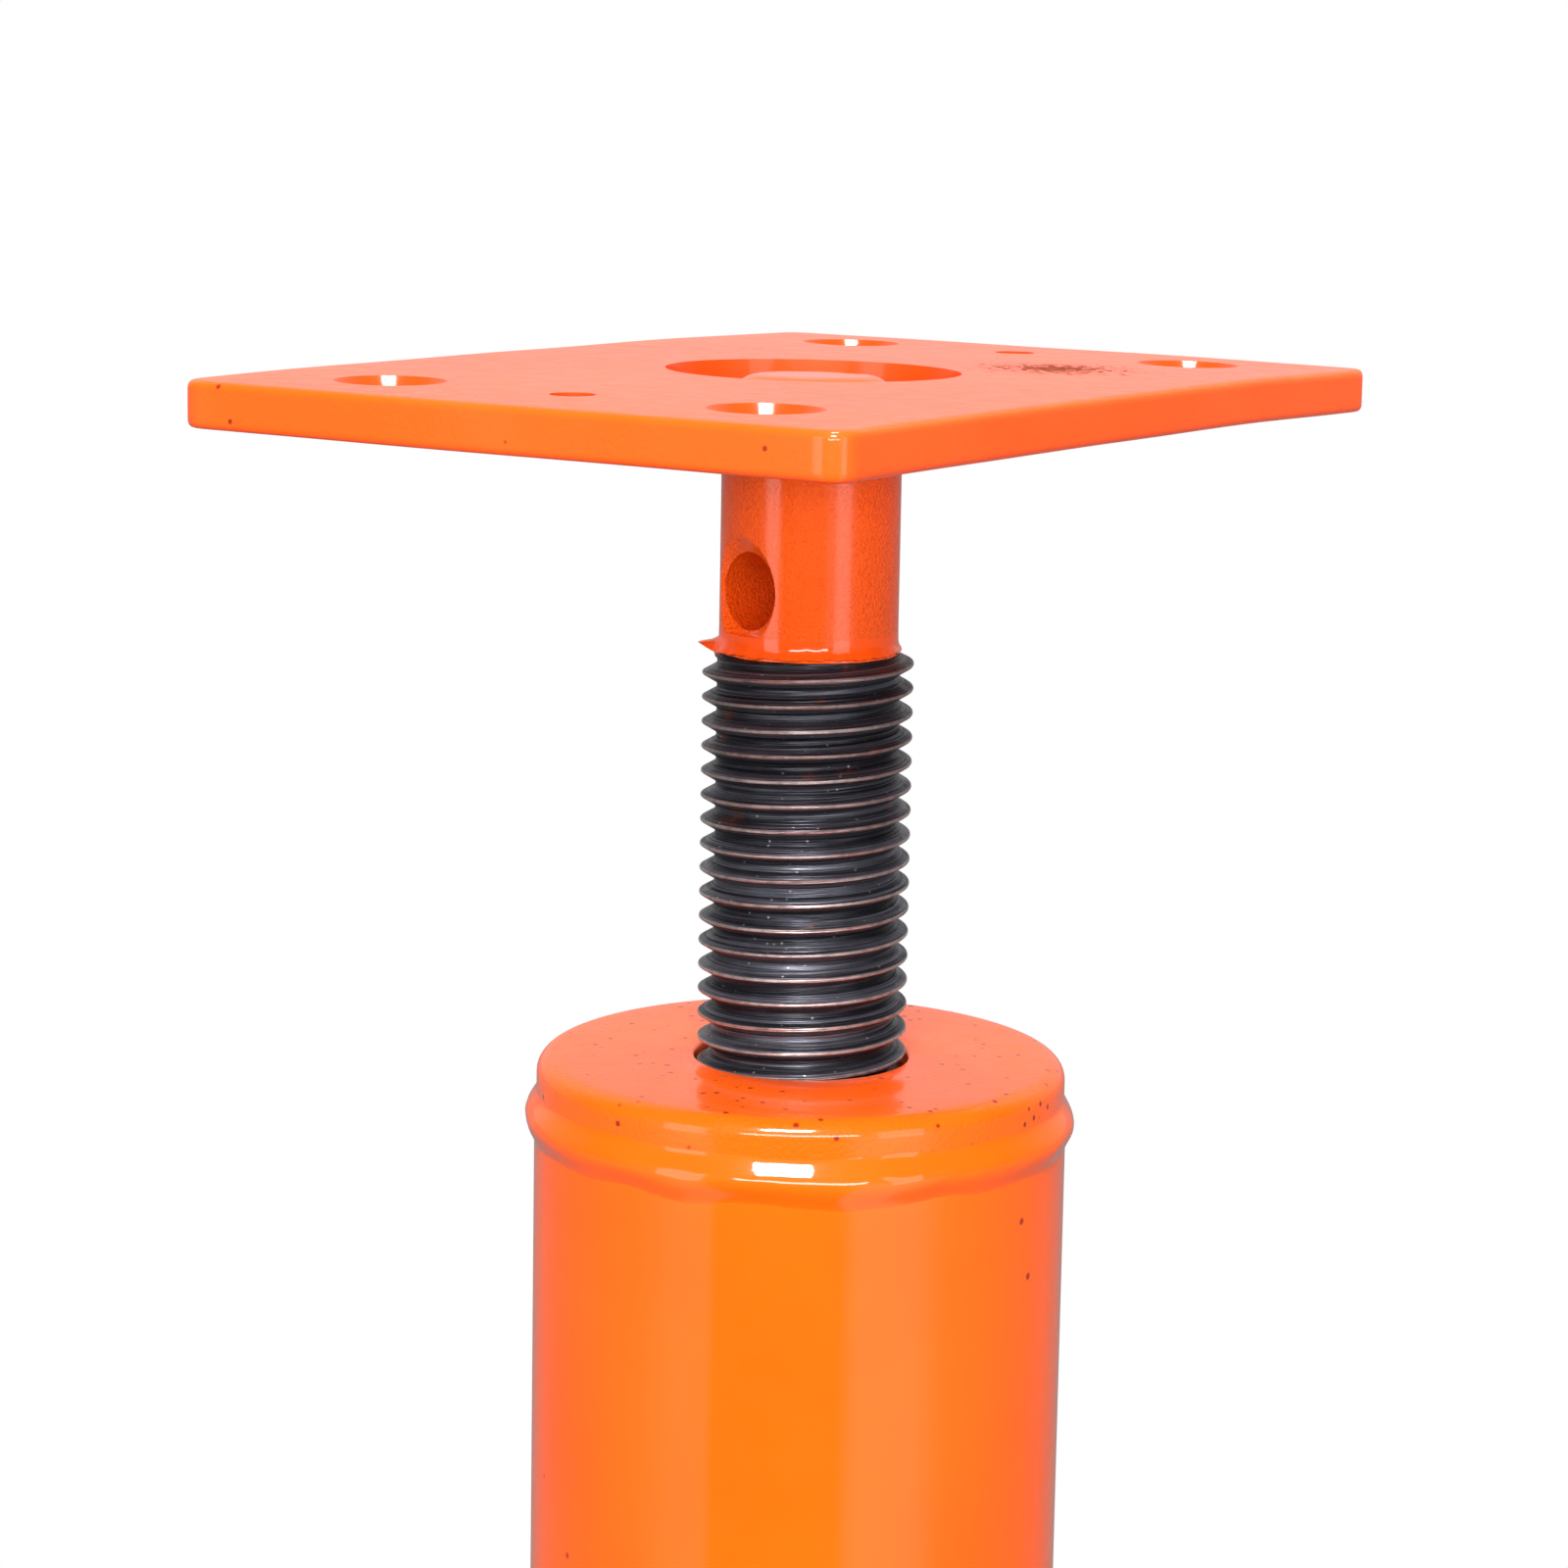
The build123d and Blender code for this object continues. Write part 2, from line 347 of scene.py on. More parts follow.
def new_group(name: str, inputs: dict[str, float], outputs: list[str]) -> tuple[bpy.types.NodeTree, Sheet, bpy.types.Node, bpy.types.Node]:
    """Start a shader node group with a Place vector input, number inputs and number outputs.

    Args:
        name: the group's name.
        inputs: each number input's name and default.
        outputs: the output names.

    Returns:
        The group, its sheet, and its input and output nodes.
    """
    group = bpy.data.node_groups.new(name, "ShaderNodeTree")
    group.interface.new_socket("Place", in_out="INPUT", socket_type="NodeSocketVector")
    for label, default in inputs.items():
        socket = group.interface.new_socket(label, in_out="INPUT", socket_type="NodeSocketFloat")
        socket.default_value = default
    for label in outputs:
        group.interface.new_socket(label, in_out="OUTPUT", socket_type="NodeSocketFloat")
    sheet = Sheet(group)
    return group, sheet, sheet.add("NodeGroupInput"), sheet.add("NodeGroupOutput")


def specks_group() -> bpy.types.NodeTree:
    """Small scattered specks, as dust nibs and pits in sprayed paint or oxide."""
    group, sheet, given, out = new_group("scattered_specks", {"Scale": 400.0, "Amount": 0.3}, ["Mask"])
    cells = sheet.add("ShaderNodeTexVoronoi")
    sheet.join(given.outputs["Place"], cells.inputs["Vector"])
    sheet.join(given.outputs["Scale"], cells.inputs["Scale"])
    near = sheet.window(cells.outputs["Distance"], 0.12, 0.24, 1.0, 0.0)
    parts = sheet.add("ShaderNodeSeparateColor")
    sheet.join(cells.outputs["Color"], parts.inputs[0])
    chosen = sheet.sum("LESS_THAN", parts.outputs[0], given.outputs["Amount"])
    sheet.join(sheet.sum("MULTIPLY", near, chosen), out.inputs["Mask"])
    return group


def orange_peel_group() -> bpy.types.NodeTree:
    """The fine dimples of sprayed paint over the slow waves of the metal below."""
    group, sheet, given, out = new_group("orange_peel", {"Dimples": 1500.0, "Waves": 60.0, "Dimple Share": 0.5}, ["Height"])
    dimples = sheet.grain(given.outputs["Place"], given.outputs["Dimples"], 1.0)
    waves = sheet.grain(given.outputs["Place"], given.outputs["Waves"], 2.0)
    fine = sheet.sum("MULTIPLY", dimples, given.outputs["Dimple Share"])
    sheet.join(sheet.sum("ADD", fine, waves), out.inputs["Height"])
    return group


def scuff_group() -> bpy.types.NodeTree:
    """Ragged scuffed patches round one place on a piece."""
    group, sheet, given, out = new_group("scuffed_patch", {"Reach": 0.01, "Roughness": 650.0}, ["Mask"])
    length = sheet.add("ShaderNodeVectorMath", operation="LENGTH")
    sheet.join(given.outputs["Place"], length.inputs[0])
    inside = sheet.sum("DIVIDE", length.outputs["Value"], given.outputs["Reach"])
    ragged = sheet.grain(given.outputs["Place"], given.outputs["Roughness"], 4.0, 0.65)
    edge = sheet.sum("ADD", inside, sheet.sum("MULTIPLY", ragged, 4.0))
    sheet.join(sheet.window(edge, 2.42, 2.50, 1.0, 0.0), out.inputs["Mask"])
    return group


def tool_marks_group() -> bpy.types.NodeTree:
    """Marks left along a helix by a threading tool, and how far out from the axis a point lies."""
    group, sheet, given, out = new_group("tool_marks", {"Pitch": 0.0035, "Fineness": 2600.0}, ["Height", "Streaks", "Radius"])
    parts = sheet.add("ShaderNodeSeparateXYZ")
    sheet.join(given.outputs["Place"], parts.inputs[0])
    turn = sheet.sum("ARCTAN2", parts.outputs["Y"], parts.outputs["X"])
    climb = sheet.sum("MULTIPLY", sheet.sum("DIVIDE", turn, FULL_TURN), given.outputs["Pitch"])
    along = sheet.sum("SUBTRACT", parts.outputs["Z"], climb)
    squares = sheet.sum("ADD", sheet.sum("MULTIPLY", parts.outputs["X"], parts.outputs["X"]),
                        sheet.sum("MULTIPLY", parts.outputs["Y"], parts.outputs["Y"]))
    radius = sheet.sum("SQRT", squares)
    marks = sheet.add("ShaderNodeCombineXYZ")
    sheet.join(along, marks.inputs["X"])
    sheet.join(radius, marks.inputs["Y"])
    sheet.join(sheet.sum("MULTIPLY", turn, 0.0002), marks.inputs["Z"])
    sheet.join(sheet.grain(marks.outputs[0], given.outputs["Fineness"], 2.0), out.inputs["Height"])
    broad = sheet.sum("MULTIPLY", given.outputs["Fineness"], 0.4)
    sheet.join(sheet.grain(marks.outputs[0], broad, 5.0, 0.7), out.inputs["Streaks"])
    sheet.join(radius, out.inputs["Radius"])
    return group


@dataclass(frozen=True)
class GlossPaint:
    """Sprayed orange gloss paint over steel."""

    name: str
    groups: "Effects"
    colour: tuple[float, float, float, float] = (0.92, 0.088, 0.0035, 1.0)
    thick: tuple[float, float, float, float] = (0.88, 0.074, 0.0025, 1.0)
    coat: float = 1.0
    speck: tuple[float, float, float, float] = (0.22, 0.02, 0.004, 1.0)
    under: tuple[float, float, float, float] = (0.17, 0.026, 0.006, 1.0)
    roughness: float = 0.34
    coat_roughness: float = 0.05
    peel_depth: float = 0.00006
    dimples: float = 1500.0
    dimple_share: float = 0.25
    speck_scale: float = 260.0
    speck_amount: float = 0.10
    scuff_at: tuple[float, float, float] | None = None
    scuff_reach: float = 0.01

    def make(self) -> bpy.types.Material:
        """Build the material."""
        material = bpy.data.materials.new(self.name)
        material.use_nodes = True
        sheet = Sheet(material.node_tree)
        shader = material.node_tree.nodes["Principled BSDF"]
        shader.inputs["Coat Weight"].default_value = self.coat
        shader.inputs["Coat Roughness"].default_value = self.coat_roughness
        shader.inputs["Coat IOR"].default_value = 1.5
        shader.inputs["Specular IOR Level"].default_value = 0.05
        place = sheet.add("ShaderNodeTexCoord").outputs["Object"]
        depth = sheet.window(sheet.grain(place, 34.0, 3.0), 0.35, 0.65)
        colour = sheet.blend(sheet.sum("MULTIPLY", depth, 0.55), self.colour, self.thick)
        specks = self.groups.place(sheet, self.groups.specks, place, {"Scale": self.speck_scale, "Amount": self.speck_amount})
        colour = sheet.blend(specks.outputs["Mask"], colour, self.speck)
        shine = sheet.window(sheet.grain(place, 220.0, 3.0), 0.3, 0.7, self.roughness - 0.05, self.roughness + 0.07)
        peel = self.groups.place(sheet, self.groups.peel, place, {"Dimples": self.dimples, "Dimple Share": self.dimple_share})
        height = sheet.sum("ADD", peel.outputs["Height"], sheet.sum("MULTIPLY", specks.outputs["Mask"], 0.4))
        if self.scuff_at is not None:
            shift = sheet.add("ShaderNodeMapping")
            shift.inputs["Location"].default_value = tuple(-part for part in self.scuff_at)
            sheet.join(place, shift.inputs["Vector"])
            scuff = self.groups.place(sheet, self.groups.scuff, shift.outputs[0], {"Reach": self.scuff_reach})
            colour = sheet.blend(scuff.outputs["Mask"], colour, self.under)
            shine = sheet.sum("ADD", shine, sheet.sum("MULTIPLY", scuff.outputs["Mask"], 0.3))
            height = sheet.sum("SUBTRACT", height, sheet.sum("MULTIPLY", scuff.outputs["Mask"], 4.0))
            bare = sheet.sum("MULTIPLY", scuff.outputs["Mask"], self.coat)
            sheet.join(sheet.sum("SUBTRACT", self.coat, bare), shader.inputs["Coat Weight"])
        sheet.join(colour, shader.inputs["Base Color"])
        sheet.join(shine, shader.inputs["Roughness"])
        sheet.join(sheet.bump(height, self.peel_depth), shader.inputs["Normal"])
        return material


@dataclass(frozen=True)
class BlackOxide:
    """Oiled black oxide on a cut thread; the crests are a lighter brown-grey, partly wear to bare metal and partly a
    painted highlight.
    """

    name: str
    groups: "Effects"
    oxide: tuple[float, float, float, float] = (0.022, 0.022, 0.029, 1.0)
    grey: tuple[float, float, float, float] = (0.11, 0.11, 0.135, 1.0)
    # lighter crest colour: partly wear, partly a painted highlight along the crest lines
    crest_wear_and_highlight: tuple[float, float, float, float] = (0.38, 0.31, 0.30, 1.0)
    rust: tuple[float, float, float, float] = (0.24, 0.060, 0.022, 1.0)
    crest_from: float = 0.01468
    crest_to: float = 0.01492

    def make(self) -> bpy.types.Material:
        """Build the material."""
        material = bpy.data.materials.new(self.name)
        material.use_nodes = True
        sheet = Sheet(material.node_tree)
        shader = material.node_tree.nodes["Principled BSDF"]
        shader.inputs["Metallic"].default_value = 0.75
        shader.inputs["Specular IOR Level"].default_value = 0.6
        place = sheet.add("ShaderNodeTexCoord").outputs["Object"]
        marks = self.groups.place(sheet, self.groups.marks, place, {})
        patches = sheet.grain(place, 300.0, 4.0, 0.6)
        colour = sheet.blend(sheet.window(marks.outputs["Streaks"], 0.42, 0.60), self.oxide, self.grey)
        rusty = sheet.window(sheet.grain(place, 130.0, 5.0, 0.65), 0.60, 0.72)
        colour = sheet.blend(sheet.sum("MULTIPLY", rusty, 0.55), colour, self.rust)
        # Lighter colour on the crests: partly wear to bare metal, partly a painted highlight along the crest lines.
        crest = sheet.window(marks.outputs["Radius"], self.crest_from, self.crest_to)
        crest_wear_and_highlight_mask = sheet.sum("MULTIPLY", crest, sheet.window(sheet.grain(place, 700.0, 3.0), 0.3, 0.6, 0.55, 1.0))
        colour = sheet.blend(crest_wear_and_highlight_mask, colour, self.crest_wear_and_highlight)
        nibs = self.groups.place(sheet, self.groups.specks, place, {"Scale": 1000.0, "Amount": 0.12})
        colour = sheet.blend(sheet.sum("MULTIPLY", nibs.outputs["Mask"], 0.8), colour, (0.45, 0.42, 0.40, 1.0))
        sheet.join(colour, shader.inputs["Base Color"])
        sheet.join(sheet.window(patches, 0.35, 0.7, 0.30, 0.48), shader.inputs["Roughness"])
        fine = sheet.bump(marks.outputs["Height"], 0.0005)
        sheet.join(sheet.bump(sheet.grain(place, 2500.0, 2.0), 0.000015, fine), shader.inputs["Normal"])
        return material


@dataclass(frozen=True)
class TurnedSteel:
    """Plain turned steel with a thin film of oil."""

    name: str
    groups: "Effects"
    bright: tuple[float, float, float, float] = (0.46, 0.45, 0.44, 1.0)
    dull: tuple[float, float, float, float] = (0.27, 0.265, 0.26, 1.0)

    def make(self) -> bpy.types.Material:
        """Build the material."""
        material = bpy.data.materials.new(self.name)
        material.use_nodes = True
        sheet = Sheet(material.node_tree)
        shader = material.node_tree.nodes["Principled BSDF"]
        shader.inputs["Metallic"].default_value = 1.0
        place = sheet.add("ShaderNodeTexCoord").outputs["Object"]
        film = sheet.grain(place, 160.0, 4.0, 0.6)
        sheet.join(sheet.blend(sheet.window(film, 0.4, 0.65), self.bright, self.dull), shader.inputs["Base Color"])
        sheet.join(sheet.window(film, 0.35, 0.7, 0.28, 0.5), shader.inputs["Roughness"])
        marks = self.groups.place(sheet, self.groups.marks, place, {"Pitch": 0.0})
        sheet.join(sheet.bump(marks.outputs["Height"], 0.00003), shader.inputs["Normal"])
        return material


class Effects:
    """The shared shader groups, built once."""

    def __init__(self) -> None:
        """Build every group."""
        self.specks = specks_group()
        self.peel = orange_peel_group()
        self.scuff = scuff_group()
        self.marks = tool_marks_group()

    def place(self, sheet: Sheet, group: bpy.types.NodeTree, place: bpy.types.NodeSocket, values: dict[str, float]) -> bpy.types.Node:
        """Put a group into a material.

        Args:
            sheet: the material's sheet.
            group: the group to use.
            place: the coordinates that it reads.
            values: its number inputs that differ from the defaults.

        Returns:
            The group's node.
        """
        node = sheet.add("ShaderNodeGroup", node_tree=group)
        sheet.join(place, node.inputs["Place"])
        for name, value in values.items():
            node.inputs[name].default_value = value
        return node


def dress(piece: bpy.types.Object, material: bpy.types.Material) -> None:
    """Give a piece one finish all over."""
    piece.data.materials.clear()
    piece.data.materials.append(material)


# ---------------------------------------------------------------------------------------------
# Load plate
# ---------------------------------------------------------------------------------------------


@dataclass
class LoadPlate:
    """The thick drilled plate that takes the load, slightly bowed by its punching."""

    paint: bpy.types.Material
    # painted shade: a darker orange for the walls deep in the holes
    recess_painted_shade: bpy.types.Material
    corner_radius: float = 4.5
    rim_radius: float = 1.25
    bolt_x: float = 29.2
    bolt_y: float = 58.2
    bolt_radius: float = 4.25
    sink_radius: float = 7.5
    nail_radius: float = 3.0
    dish_radius: float = 20.75
    dish_floor_radius: float = 20.2
    dish_depth: float = 4.2
    pivot_radius: float = 10.3
    lift: float = 0.15
    bow: float = 0.45
    lean: float = 0.4
    score_gap: float = 6.4

    def __post_init__(self) -> None:
        """Take the plate's size from the frame."""
        low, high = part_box("load_plate")
        self.low, self.high = low / MM, high / MM

    def blank(self) -> bpy.types.Object:
        """Cut the rectangle to size and round its corners and its rims."""
        bpy.ops.object.select_all(action="DESELECT")
        bpy.ops.mesh.primitive_cube_add(size=1, location=(self.low + self.high) / 2 * MM)
        plate = bpy.context.object
        plate.name = "load_plate_body"
        plate.scale = (self.high - self.low) * MM
        settle(plate)
        middle = (self.low.z + self.high.z) / 2
        round_edges(plate, self.corner_radius, 10, 60, lambda at: abs(at.z - middle) < 1)
        round_edges(plate, self.rim_radius, 5, 60, lambda at: abs(at.z - middle) > 2)
        return plate

    def cutter(self, x: float, y: float, outline: list[tuple[float, float]]) -> bpy.types.Object:
        """A turned cutter standing at a hole's place."""
        tool = lathe("hole_cutter", outline, 64)
        tool.location = (x * MM, y * MM, 0)
        settle(tool)
        return tool

    def drill(self, plate: bpy.types.Object) -> None:
        """Sink the dish, the countersunk bolt holes and the nail holes."""
        top, bottom = self.high.z, self.low.z
        sink = self.sink_radius - self.bolt_radius
        bolt = [(0, bottom - 2), (self.bolt_radius, bottom - 2), (self.bolt_radius, top - sink),
                (self.sink_radius + 1, top + 1), (0, top + 1)]
        nail = [(0, bottom - 2), (self.nail_radius, bottom - 2), (self.nail_radius, top + 1), (0, top + 1)]
        slope = (self.dish_radius - self.dish_floor_radius) / self.dish_depth
        floor = top - self.dish_depth
        bend = arc((self.dish_floor_radius - 1.5, floor + 1.7), 1.7, 270, 350, 8)
        dish = [(0, bottom - 2), (self.pivot_radius, bottom - 2), (self.pivot_radius, floor), *bend,
                (self.dish_radius + slope, top + 1), (0, top + 1)]
        for x in (-self.bolt_x, self.bolt_x):
            for y in (-self.bolt_y, self.bolt_y):
                cut_away(plate, self.cutter(x, y, bolt))
        for y in (-self.bolt_y, self.bolt_y):
            cut_away(plate, self.cutter(0, y, nail))
        cut_away(plate, self.cutter(0, 0, dish))

    def soften(self, plate: bpy.types.Object) -> None:
        """Round the rims of all the holes as thick paint does, and give their deeper walls a darker orange as painted
        shade in the holes.
        """
        holes = [(x, y, self.sink_radius + 0.3) for x in (-self.bolt_x, self.bolt_x) for y in (-self.bolt_y, self.bolt_y)]
        holes += [(0, y, self.nail_radius + 0.3) for y in (-self.bolt_y, self.bolt_y)]
        holes.append((0, 0, self.dish_radius + 0.3))
        top = self.high.z

        def at_a_rim(at: Vector) -> bool:
            """Whether a point lies on the top rim of a hole."""
            return at.z > top - 0.05 and any(math.hypot(at.x - x, at.y - y) < reach for x, y, reach in holes)

        round_edges(plate, 0.5, 3, 20, at_a_rim)
        dress(plate, self.paint)
        # The second slot is a darker orange: painted shade on the hole walls below the rims.
        plate.data.materials.append(self.recess_painted_shade)
        for face in plate.data.polygons:
            at = face.center / MM
            in_a_hole = any(math.hypot(at.x - x, at.y - y) < reach for x, y, reach in holes)
            face.material_index = int(in_a_hole and self.low.z + 0.2 < at.z < top - 0.4)

    def bend(self, plate: bpy.types.Object) -> None:
        """Score the plate finely and bow it: its ends and corners droop a little."""
        half_x, half_y = self.high.x, self.high.y
        for axis, half in (((1, 0, 0), half_x), ((0, 1, 0), half_y)):
            count = int(2 * half / self.score_gap)
            places = [(-half + (i + 0.5) * 2 * half / count) * MM for i in range(count)]
            bisect_across(plate, axis, places)
        for vertex in plate.data.vertices:
            x, y = vertex.co.x / MM / half_x, vertex.co.y / MM / half_y
            outwards = max(0.0, math.hypot(x, y) - 0.35)
            dent = noise.noise(Vector((x * 1.4, y * 2.0, 3.1))) * 0.25 * min(1.0, outwards * 2)
            vertex.co.z += (self.lift + dent - self.bow * y ** 2 - self.lean * x) * MM

    def build(self) -> None:
        """Make, paint and hand over the plate."""
        plate = self.blank()
        self.drill(plate)
        self.soften(plate)
        self.bend(plate)
        seal(plate)
        smooth(plate, 35)
        weights = plate.modifiers.new("even_shading", "WEIGHTED_NORMAL")
        weights.keep_sharp = True
        apply_all(plate)
        bring_in(plate, Body.PLATE, Slot.ORANGE, "load_plate")


# ---------------------------------------------------------------------------------------------
# Jack screw
# ---------------------------------------------------------------------------------------------


@dataclass
class JackScrew:
    """The threaded spindle: thread, painted neck with its bar hole, and the peened spigot head."""

    neck_paint: bpy.types.Material
    head_paint: bpy.types.Material
    oxide: bpy.types.Material
    pitch: float = 3.5
    crest: float = 14.95
    root: float = 12.85
    neck_radius: float = 12.65
    exposed_thread: float = 58.25
    thread_length: float = 165.75
    thread_end_direction: float = 181.0
    lead_in: float = 1.4
    tail_radius: float = 12.0
    bar_hole_radius: float = 5.5
    bar_sink_radius: float = 7.85
    bar_sink_depth: float = 1.8
    spigot_radius: float = 10.0
    burr_direction: float = 214.0
    steps: int = 72

    def __post_init__(self) -> None:
        """Take the heights from the frame, and the bar hole from its mount."""
        self.tail_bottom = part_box("jack_screw")[0].z / MM
        self.head_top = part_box("jack_screw")[1].z / MM
        self.thread_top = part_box("tube_cap")[1].z / MM + self.exposed_thread
        self.thread_bottom = self.thread_top - self.thread_length
        self.neck_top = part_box("load_plate")[0].z / MM + 0.1
        mounts = {mount["name"]: mount for mount in frame["record"]["mounts"]}
        self.bar_height = mounts["tommy_bar_hole"]["pos_m"][2] / MM
        self.bar_axis = Vector(mounts["tommy_bar_hole"]["axis"])

    def thread_profile(self, crest_height: float) -> list[tuple[float, float]]:
        """One pitch of the thread's outline, from root to root, round a crest at this height."""
        half = [(0.0, self.crest), (0.11, self.crest - 0.02), (0.21, self.crest - 0.09), (0.30, self.crest - 0.22),
                (0.30 + 0.6 * math.tan(math.radians(30)), self.crest - 0.82),
                (0.30 + 1.55 * math.tan(math.radians(30)), self.crest - 1.77),
                (1.31, self.root + 0.14), (1.45, self.root + 0.05), (self.pitch / 2, self.root)]
        below = [(radius, crest_height - away) for away, radius in reversed(half)]
        above = [(radius, crest_height + away) for away, radius in half[1:]]
        return below + above

    def envelope(self, height: float) -> float:
        """The largest radius that the end chamfers leave at this height."""
        slope = (self.crest + 0.5 - self.neck_radius) / self.lead_in
        from_top = self.neck_radius + (self.thread_top - height) * slope
        from_bottom = self.tail_radius + (height - self.thread_bottom) * slope
        return max(self.tail_radius, min(from_top, from_bottom))

    def thread(self) -> bpy.types.Object:
        """Wind the thread's outline up the screw and trim its ends."""
        turns = math.ceil(self.thread_length / self.pitch) + 3
        crest_height = self.thread_top - self.pitch * (self.thread_end_direction / 360 + turns - 2)
        screw = draw_outline("screw_thread", self.thread_profile(crest_height))
        winding = screw.modifiers.new("winding", "SCREW")
        winding.axis = "Z"
        winding.angle = FULL_TURN
        winding.screw_offset = self.pitch * MM
        winding.iterations = turns
        winding.steps = winding.render_steps = self.steps
        winding.use_merge_vertices = True
        winding.merge_threshold = WELD_GAP
        apply_all(screw)
        for vertex in screw.data.vertices:
            radius = math.hypot(vertex.co.x, vertex.co.y) / MM
            allowed = self.envelope(vertex.co.z / MM)
            if radius > allowed:
                vertex.co.x *= allowed / radius
                vertex.co.y *= allowed / radius
        open_edit(screw)
        for height, normal in ((self.thread_top, 1), (self.thread_bottom, -1)):
            bpy.ops.mesh.select_all(action="SELECT")
            bpy.ops.mesh.bisect(plane_co=(0, 0, height * MM), plane_no=(0, 0, normal), use_fill=True, clear_outer=True)
        close_edit()
        seal(screw)
        smooth(screw, 50)
        return screw

    def bar_cutters(self) -> list[bpy.types.Object]:
        """The drill and the two countersinks that make the bar hole."""
        reach, neck = 2 * self.neck_radius, self.neck_radius
        slope = (self.bar_sink_radius - self.bar_hole_radius) / self.bar_sink_depth
        inner = neck - self.bar_sink_depth
        outline = [(0, -reach), (self.bar_sink_radius + (reach - neck) * slope, -reach), (self.bar_hole_radius, -inner),
                   (self.bar_hole_radius, inner), (self.bar_sink_radius + (reach - neck) * slope, reach), (0, reach)]
        tool = lathe("bar_drill", outline, 96)
        tool.matrix_world = Matrix.Translation((0, 0, self.bar_height * MM)) @ self.bar_axis.to_track_quat("Z", "Y").to_matrix().to_4x4()
        settle(tool)
        return [tool]

    def neck(self) -> bpy.types.Object:
        """Turn the neck, drill it for the bar and soften the hole's rim."""
        low, high, radius = self.thread_top - 0.6, self.neck_top, self.neck_radius
        levels = [low + (high - low) * i / 16 for i in range(17)]
        outline = [(0, low), *[(radius, level) for level in levels], (0, high)]
        neck = lathe("screw_neck", outline, 160)
        cut_away(neck, *self.bar_cutters())

        def on_the_hole(at: Vector) -> bool:
            """Whether a point lies on a rim of the bar hole."""
            return abs(at.z - self.bar_height) < self.bar_sink_radius + 0.5 and math.hypot(at.x, at.y) > 9.5

        round_edges(neck, 0.3, 3, 24, on_the_hole)
        seal(neck)
        smooth(neck, 40)
        return neck

    def head(self) -> bpy.types.Object:
        """Turn the spigot with its peened head."""
        top = self.head_top
        outline = [(0, self.neck_top - 1), (self.spigot_radius, self.neck_top - 1), (self.spigot_radius, top - 2.7),
                   (11.7, top - 2.72), (11.95, top - 2.6), (12.0, top - 2.35), (11.8, top - 2.0), (11.2, top - 1.55),
                   (10.4, top - 1.0), (9.6, top - 0.5), (9.0, top - 0.24), (8.4, top - 0.08), (7.7, top - 0.01),
                   (4.0, top), (0, top)]
        head = lathe("spigot_head", outline, 96)
        for vertex in head.data.vertices:
            turn = math.atan2(vertex.co.y, vertex.co.x)
            radius = math.hypot(vertex.co.x, vertex.co.y) / MM
            if vertex.co.z / MM > top - 2.4 and radius > 5:
                vertex.co.z += wobble(turn, 7.0, 1.3) * 0.14 * MM * (radius - 5) / 7
        smooth(head, 60)
        return head

    def paint_skirt(self) -> bpy.types.Object:
        """The ragged edge where the neck's paint was broken off at the thread."""
        low, radius = self.thread_top + 0.7, self.neck_radius
        outline = [(radius - 0.6, low + 2.4), (radius + 0.02, low + 2.4), (radius + 0.03, low + 1.2), (radius + 0.14, low + 0.5),
                   (radius + 0.42, low + 0.02), (radius + 0.5, low - 0.25), (radius + 0.2, low - 0.42), (radius - 0.6, low - 0.4),
                   (radius - 0.6, low + 2.4)]
        skirt = lathe("paint_skirt", outline, 288)
        burr = math.radians(self.burr_direction)
        for vertex in skirt.data.vertices:
            x, y, height = vertex.co.x, vertex.co.y, vertex.co.z / MM - low
            turn, out = math.atan2(y, x), math.hypot(x, y) / MM
            if height > 1.0 or out < radius - 0.3:
                continue
            share = (1.0 - height) / 1.4
            ragged = wobble(turn, 1.7, 9.0) * 0.5 + wobble(turn, 4.2, 30.0) * 0.25
            beside = (turn - burr + math.pi) % FULL_TURN - math.pi
            spike = math.exp(-(beside / 0.19) ** 2)
            shoulder = math.exp(-((beside - 0.35) / 0.25) ** 2)
            grown = out + share * (0.22 * ragged + 2.6 * spike + 0.5 * shoulder)
            vertex.co.x, vertex.co.y = x * grown / out, y * grown / out
            vertex.co.z += share * (0.55 * ragged + 0.75 * spike - 0.25 * shoulder) * MM
        smooth(skirt, 50)
        return skirt

    def tail(self) -> bpy.types.Object:
        """Turn the plain tail that carries the stop collar."""
        low, high, radius = self.tail_bottom, self.thread_bottom + 0.5, self.tail_radius
        return lathe("screw_tail", [(0, low), (radius - 1, low), (radius, low + 1), (radius, high), (0, high)], 96)

    def build(self) -> None:
        """Make, dress and hand over every stretch of the screw."""
        for piece, finish, slot, nodes in (
            (self.thread(), self.oxide, Slot.BLACK, ("jack_screw",)),
            (self.tail(), self.oxide, Slot.BLACK, ()),
            (self.neck(), self.neck_paint, Slot.ORANGE, ()),
            (self.paint_skirt(), self.head_paint, Slot.ORANGE, ()),
            (self.head(), self.head_paint, Slot.ORANGE, ()),
        ):
            dress(piece, finish)
            bring_in(piece, Body.SCREW, slot, *nodes)


# ---------------------------------------------------------------------------------------------
# Post: cap, weld bead, tube and base
# ---------------------------------------------------------------------------------------------


